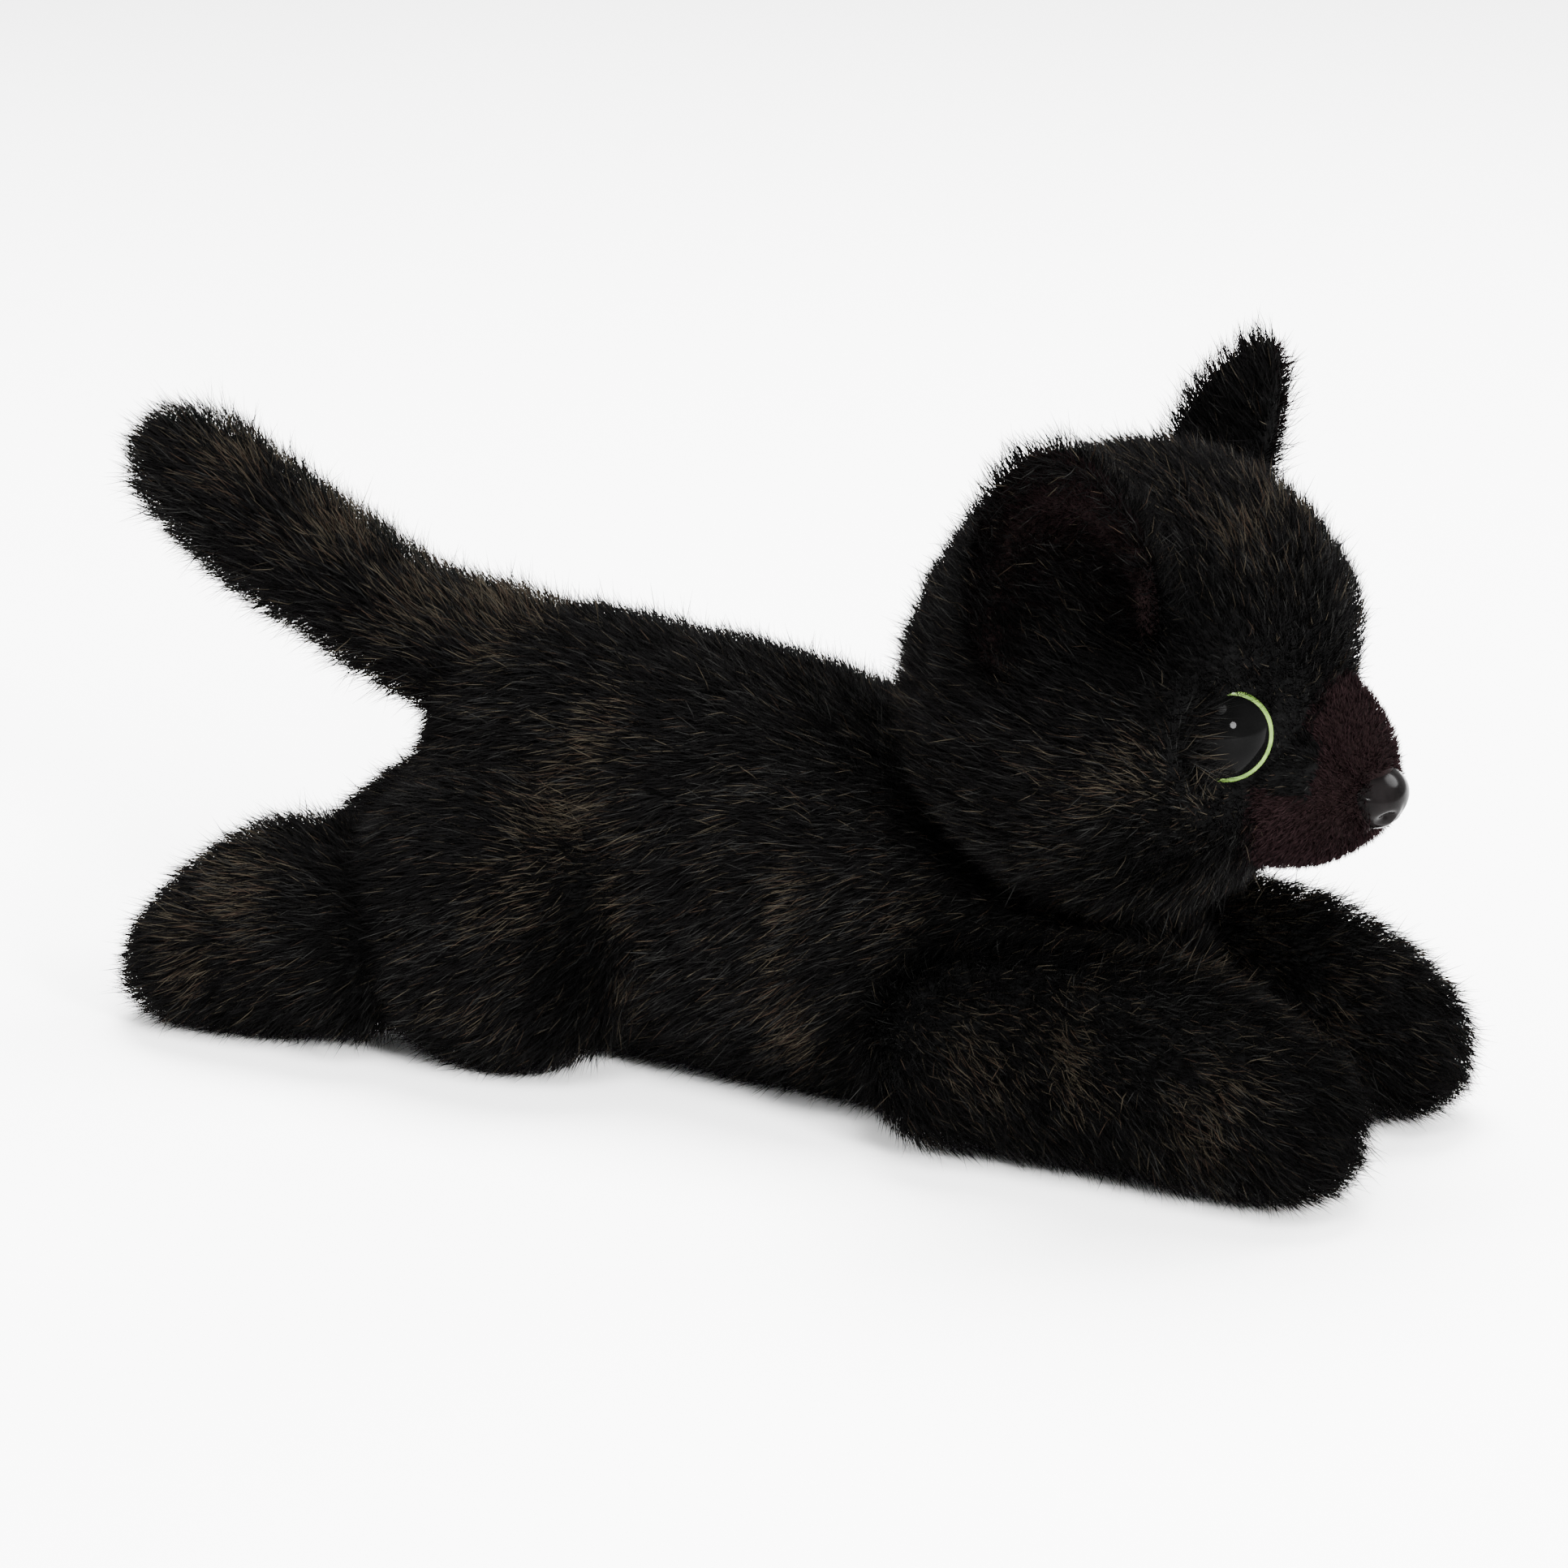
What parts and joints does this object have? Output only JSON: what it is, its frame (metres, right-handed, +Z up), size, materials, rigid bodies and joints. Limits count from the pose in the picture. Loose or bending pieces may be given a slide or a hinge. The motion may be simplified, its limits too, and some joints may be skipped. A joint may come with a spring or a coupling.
{
  "type": "plush cat",
  "caption": "Floppy plush cat lying on its belly, with raised tail, cupped ears, plastic eyes and nose, and soft sewn joints at neck, legs, tail and ears.",
  "frame": {"origin": "on the floor, at the middle of the flat of the belly", "axes": "+X from tail to nose, +Y to the cat's left, +Z up"},
  "size_m": [0.208, 0.0762, 0.1058],
  "materials": {
    "black_fur": "long soft pile, black with brown tips",
    "short_pile": "short dense pile, very dark brown",
    "ear_lining": "short dense pile, black brown",
    "fibrefill": "polyester fibre filling",
    "pellet_cloth": "thin woven pouch of plastic pellets",
    "eye_plastic": "polished black",
    "iris_green": "polished green ring",
    "nose_plastic": "polished black",
    "washer_plastic": "moulded, natural white"
  },
  "bodies": {
    "torso": {"torso_panel_left": "black_fur", "torso_panel_right": "black_fur", "belly_panel": "black_fur", "torso_stuffing": "fibrefill", "pellet_pouch": "pellet_cloth", "thigh_panel_left": "black_fur", "thigh_panel_right": "black_fur", "thigh_stuffing_left": "fibrefill", "thigh_stuffing_right": "fibrefill"},
    "neck": {"neck_stuffing": "fibrefill"},
    "head": {"head_side_left": "black_fur", "head_side_right": "black_fur", "crown_gusset": "black_fur", "chin_panel": "black_fur", "head_stuffing": "fibrefill", "muzzle_bridge": "short_pile", "muzzle_lower": "short_pile", "muzzle_stuffing": "fibrefill", "eye_dome_left": "eye_plastic", "eye_dome_right": "eye_plastic", "eye_iris_left": "iris_green", "eye_iris_right": "iris_green", "eye_washer_left": "washer_plastic", "eye_washer_right": "washer_plastic", "nose": "nose_plastic", "nose_washer": "washer_plastic"},
    "ear_left": {"ear_back_left": "black_fur", "ear_lining_left": "ear_lining"},
    "ear_right": {"ear_back_right": "black_fur", "ear_lining_right": "ear_lining"},
    "tail_root": {"tail_root_stuffing": "fibrefill"},
    "tail": {"tail_panel_left": "black_fur", "tail_panel_right": "black_fur", "tail_stuffing": "fibrefill"},
    "foreleg_left": {"foreleg_outer_left": "black_fur", "foreleg_inner_left": "black_fur", "foreleg_sole_left": "short_pile", "foreleg_stuffing_left": "fibrefill"},
    "hind_foot_left": {"hind_foot_outer_left": "black_fur", "hind_foot_inner_left": "black_fur", "hind_foot_stuffing_left": "fibrefill"},
    "foreleg_right": {"foreleg_outer_right": "black_fur", "foreleg_inner_right": "black_fur", "foreleg_sole_right": "short_pile", "foreleg_stuffing_right": "fibrefill"},
    "hind_foot_right": {"hind_foot_outer_right": "black_fur", "hind_foot_inner_right": "black_fur", "hind_foot_stuffing_right": "fibrefill"}
  },
  "joints": [
    {"name": "head_turn", "type": "hinge", "parent": "torso", "child": "neck", "pos_m": [0.0545, 0, 0.066], "axis": [0, 0, 1], "range_deg": [-25, 25], "stiffness_Nm_per_rad": 0.06},
    {"name": "head_nod", "type": "hinge", "parent": "neck", "child": "head", "pos_m": [0.0545, 0, 0.066], "axis": [0, -1, 0], "range_deg": [-15, 15], "stiffness_Nm_per_rad": 0.08},
    {"name": "ear_left_fold", "type": "hinge", "parent": "head", "child": "ear_left", "pos_m": [0.0565, 0.0285, 0.0795], "axis": [0.866, -0.25, 0.433], "range_deg": [-18, 18], "stiffness_Nm_per_rad": 0.004},
    {"name": "ear_right_fold", "type": "hinge", "parent": "head", "child": "ear_right", "pos_m": [0.0565, -0.0285, 0.0795], "axis": [-0.866, -0.25, -0.433], "range_deg": [-18, 18], "stiffness_Nm_per_rad": 0.004},
    {"name": "foreleg_left_splay", "type": "hinge", "parent": "torso", "child": "foreleg_left", "pos_m": [0.038, 0.021, 0.0152], "axis": [0, 0, 1], "range_deg": [-4, 22], "stiffness_Nm_per_rad": 0.03},
    {"name": "foreleg_right_splay", "type": "hinge", "parent": "torso", "child": "foreleg_right", "pos_m": [0.038, -0.021, 0.0152], "axis": [0, 0, -1], "range_deg": [-4, 22], "stiffness_Nm_per_rad": 0.03},
    {"name": "hind_foot_left_splay", "type": "hinge", "parent": "torso", "child": "hind_foot_left", "pos_m": [-0.058, 0.024, 0.0158], "axis": [0, 0, -1], "range_deg": [-4, 20], "stiffness_Nm_per_rad": 0.02},
    {"name": "hind_foot_right_splay", "type": "hinge", "parent": "torso", "child": "hind_foot_right", "pos_m": [-0.058, -0.024, 0.0158], "axis": [0, 0, 1], "range_deg": [-4, 20], "stiffness_Nm_per_rad": 0.02},
    {"name": "tail_lift", "type": "hinge", "parent": "torso", "child": "tail_root", "pos_m": [-0.05, 0, 0.053], "axis": [0, 1, 0], "range_deg": [-15, 20], "stiffness_Nm_per_rad": 0.15},
    {"name": "tail_sway", "type": "hinge", "parent": "tail_root", "child": "tail", "pos_m": [-0.05, 0, 0.053], "axis": [0, 0, 1], "range_deg": [-25, 25], "stiffness_Nm_per_rad": 0.08}
  ]
}
